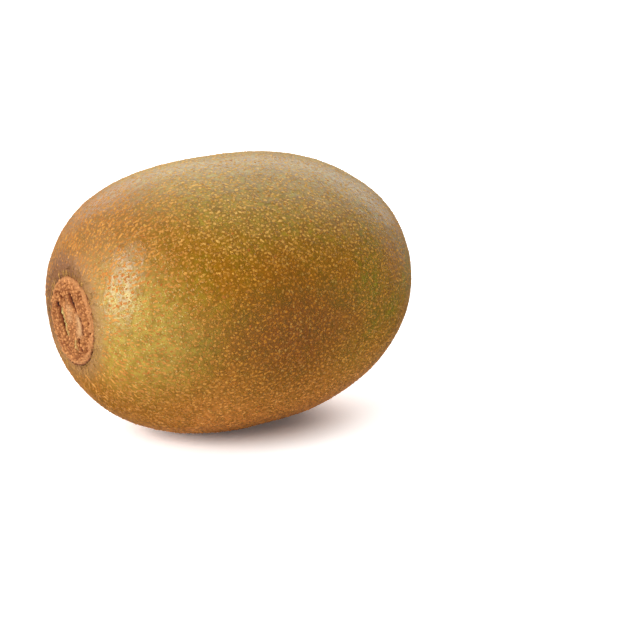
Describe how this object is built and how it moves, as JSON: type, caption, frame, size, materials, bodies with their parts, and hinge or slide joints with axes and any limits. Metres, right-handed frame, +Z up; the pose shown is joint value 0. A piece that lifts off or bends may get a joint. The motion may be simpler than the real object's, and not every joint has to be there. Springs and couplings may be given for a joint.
{
  "type": "golden kiwi fruit",
  "caption": "Whole golden kiwi fruit lying on its side: speckled smooth brown-green skin, corky round stem scar, dried flower styles at the other end.",
  "frame": {"origin": "centre of the floor area the whole part covers, on the surface that it rests on", "axes": "+X along the fruit from its stem end (-X) to its blossom end (+X), +Y across it, +Z up"},
  "size_m": [0.0706, 0.053, 0.0501],
  "materials": {
    "skin": "satin olive-brown fruit skin with small rust-coloured corky dots",
    "cork": "matt, grainy orange-brown cork",
    "withered_styles": "matt, dry dark brown plant fibre"
  },
  "bodies": {
    "root": {"fruit": "skin", "stem_scar": "cork", "dried_styles": "withered_styles"}
  },
  "joints": []
}
